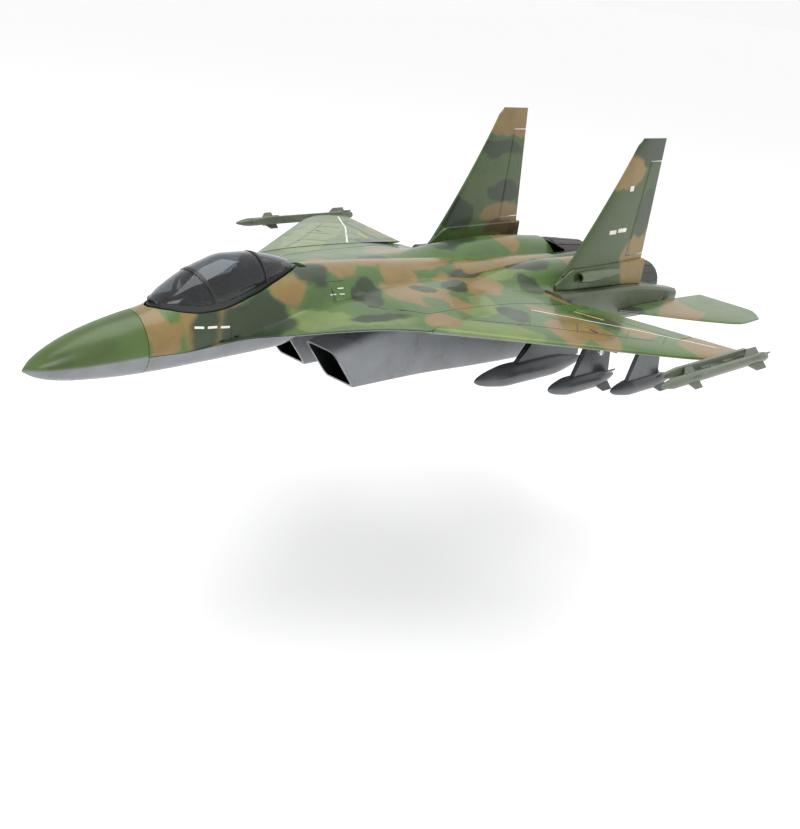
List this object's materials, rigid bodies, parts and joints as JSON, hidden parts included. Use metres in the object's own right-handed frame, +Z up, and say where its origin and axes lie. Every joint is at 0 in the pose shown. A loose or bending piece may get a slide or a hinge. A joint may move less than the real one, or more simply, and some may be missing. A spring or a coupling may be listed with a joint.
{
  "type": "radio-controlled twin-fin jet model",
  "caption": "Camouflaged foam model of a twin-fin jet with ducted fans, a hinged canopy hatch, servo-driven ailerons, rudders and stabilators, and stores under swept wings.",
  "frame": {"origin": "centre of the bounding box in plan, on the plane of the nacelle bottoms that the model rests on", "axes": "+X towards the nose, +Y to the model's left, +Z up"},
  "size_m": [0.464, 0.344, 0.1325],
  "materials": {
    "camouflage_skin": "airbrushed green, dark green and tan patches, satin",
    "grey_skin": "grey sprayed paint, satin",
    "radome": "green satin paint over a grey underside",
    "sting_paint": "grey-green satin paint",
    "nozzle_metal": "gunmetal paint, satin",
    "smoked_canopy": "clear plastic tinted nearly black, glossy",
    "canopy_frame_paint": "black satin",
    "cockpit_plastic": "black moulded plastic",
    "seat_plastic": "dark brown moulded plastic",
    "store_grey": "metallic grey paint, satin",
    "rail_grey": "grey-green satin paint",
    "missile_grey": "grey satin paint",
    "servo_case": "blue moulded case",
    "servo_arm_plastic": "white moulded nylon",
    "steel_wire": "bright spring wire",
    "carbon_spar": "pultruded carbon tube",
    "fan_black": "black moulded nylon",
    "motor_can": "gold anodised",
    "battery_wrap": "blue shrink wrap",
    "circuit_board": "green solder mask"
  },
  "bodies": {
    "airframe": {"nose_cone": "radome", "fuselage_upper_shell": "camouflage_skin", "fuselage_lower_shell": "grey_skin", "tail_sting": "sting_paint", "wing_spar": "carbon_spar", "battery": "battery_wrap", "control_board": "circuit_board", "canopy_hinge_pin": "steel_wire", "nacelle_left": "grey_skin", "nacelle_right": "grey_skin", "nozzle_left": "nozzle_metal", "nozzle_right": "nozzle_metal", "boom_left": "grey_skin", "boom_right": "grey_skin", "wing_left": "camouflage_skin", "wing_right": "camouflage_skin", "fin_left": "camouflage_skin", "fin_right": "camouflage_skin", "aileron_servo_left": "servo_case", "aileron_servo_right": "servo_case", "stab_servo_left": "servo_case", "stab_servo_right": "servo_case", "rudder_servo_left": "servo_case", "rudder_servo_right": "servo_case", "fan_housing_left": "fan_black", "fan_housing_right": "fan_black", "fan_motor_left": "motor_can", "fan_motor_right": "motor_can", "drop_tank_left": "store_grey", "drop_tank_right": "store_grey", "bomb_mid_left": "store_grey", "bomb_mid_right": "store_grey", "bomb_outer_left": "store_grey", "bomb_outer_right": "store_grey", "tip_rail_left": "rail_grey", "tip_rail_right": "rail_grey", "tip_missile_left": "missile_grey", "tip_missile_right": "missile_grey"},
    "canopy_hatch": {"canopy_glass": "smoked_canopy", "canopy_frame": "canopy_frame_paint", "cockpit_tub": "cockpit_plastic", "pilot_seat": "seat_plastic"},
    "aileron_left_body": {"aileron_left": "camouflage_skin"},
    "aileron_right_body": {"aileron_right": "camouflage_skin"},
    "aileron_arm_left_body": {"aileron_servo_arm_left": "servo_arm_plastic"},
    "aileron_arm_right_body": {"aileron_servo_arm_right": "servo_arm_plastic"},
    "pushrod_left_body": {"aileron_pushrod_left": "steel_wire"},
    "pushrod_right_body": {"aileron_pushrod_right": "steel_wire"},
    "rudder_left_body": {"rudder_left": "camouflage_skin", "rudder_torque_rod_left": "steel_wire"},
    "rudder_right_body": {"rudder_right": "camouflage_skin", "rudder_torque_rod_right": "steel_wire"},
    "stabilator_left_body": {"stabilator_left": "camouflage_skin", "stab_spindle_left": "steel_wire"},
    "stabilator_right_body": {"stabilator_right": "camouflage_skin", "stab_spindle_right": "steel_wire"},
    "fan_left_body": {"fan_rotor_left": "fan_black"},
    "fan_right_body": {"fan_rotor_right": "fan_black"}
  },
  "joints": [
    {"name": "canopy_hinge", "type": "hinge", "parent": "airframe", "child": "canopy_hatch", "pos_m": [0.082, 0, 0.058], "axis": [0, -1, 0], "range_deg": [0, 55]},
    {"name": "aileron_left_hinge", "type": "hinge", "parent": "airframe", "child": "aileron_left_body", "pos_m": [-0.06401, 0.104, 0.04174], "axis": [-0.3338, 0.9415, -0.046], "range_deg": [-25, 25]},
    {"name": "aileron_right_hinge", "type": "hinge", "parent": "airframe", "child": "aileron_right_body", "pos_m": [-0.06401, -0.104, 0.04174], "axis": [0.3338, 0.9415, 0.046], "range_deg": [-25, 25]},
    {"name": "aileron_arm_left_turn", "type": "hinge", "parent": "airframe", "child": "aileron_arm_left_body", "pos_m": [-0.03571, 0.11397, 0.04044], "axis": [-0.3338, 0.9415, -0.046], "range_deg": [-25, 25]},
    {"name": "aileron_arm_right_turn", "type": "hinge", "parent": "airframe", "child": "aileron_arm_right_body", "pos_m": [-0.03571, -0.11397, 0.04044], "axis": [0.3338, 0.9415, 0.046], "range_deg": [-25, 25]},
    {"name": "pushrod_left_pin", "type": "hinge", "parent": "aileron_arm_left_body", "child": "pushrod_left_body", "pos_m": [-0.03559, 0.11362, 0.03245], "axis": [-0.3338, 0.9415, -0.046], "range_deg": [-25, 25]},
    {"name": "pushrod_right_pin", "type": "hinge", "parent": "aileron_arm_right_body", "child": "pushrod_right_body", "pos_m": [-0.03559, -0.11362, 0.03245], "axis": [0.3338, 0.9415, 0.046], "range_deg": [-25, 25]},
    {"name": "rudder_left_hinge", "type": "hinge", "parent": "airframe", "child": "rudder_left_body", "pos_m": [-0.1395, 0.05144, 0.061], "axis": [-0.078, 0.0357, 0.9963], "range_deg": [-25, 25]},
    {"name": "rudder_right_hinge", "type": "hinge", "parent": "airframe", "child": "rudder_right_body", "pos_m": [-0.1395, -0.05144, 0.061], "axis": [-0.078, -0.0357, 0.9963], "range_deg": [-25, 25]},
    {"name": "stabilator_left_pivot", "type": "hinge", "parent": "airframe", "child": "stabilator_left_body", "pos_m": [-0.18, 0.0615, 0.0285], "axis": [0, 1, 0], "range_deg": [-15, 15]},
    {"name": "stabilator_right_pivot", "type": "hinge", "parent": "airframe", "child": "stabilator_right_body", "pos_m": [-0.18, -0.0615, 0.0285], "axis": [0, 1, 0], "range_deg": [-15, 15]},
    {"name": "fan_left_spin", "type": "hinge", "parent": "airframe", "child": "fan_left_body", "pos_m": [-0.074, 0.02729, 0.021], "axis": [1, 0, 0], "continuous": true},
    {"name": "fan_right_spin", "type": "hinge", "parent": "airframe", "child": "fan_right_body", "pos_m": [-0.074, -0.02729, 0.021], "axis": [1, 0, 0], "continuous": true}
  ],
  "couplings": [
    {"joint": "aileron_right_hinge", "follows": "aileron_left_hinge", "ratio": -1},
    {"joint": "aileron_arm_left_turn", "follows": "aileron_left_hinge", "ratio": 1},
    {"joint": "aileron_arm_right_turn", "follows": "aileron_left_hinge", "ratio": -1},
    {"joint": "pushrod_left_pin", "follows": "aileron_left_hinge", "ratio": -1},
    {"joint": "pushrod_right_pin", "follows": "aileron_left_hinge", "ratio": 1},
    {"joint": "rudder_right_hinge", "follows": "rudder_left_hinge", "ratio": 1},
    {"joint": "stabilator_right_pivot", "follows": "stabilator_left_pivot", "ratio": 1}
  ]
}
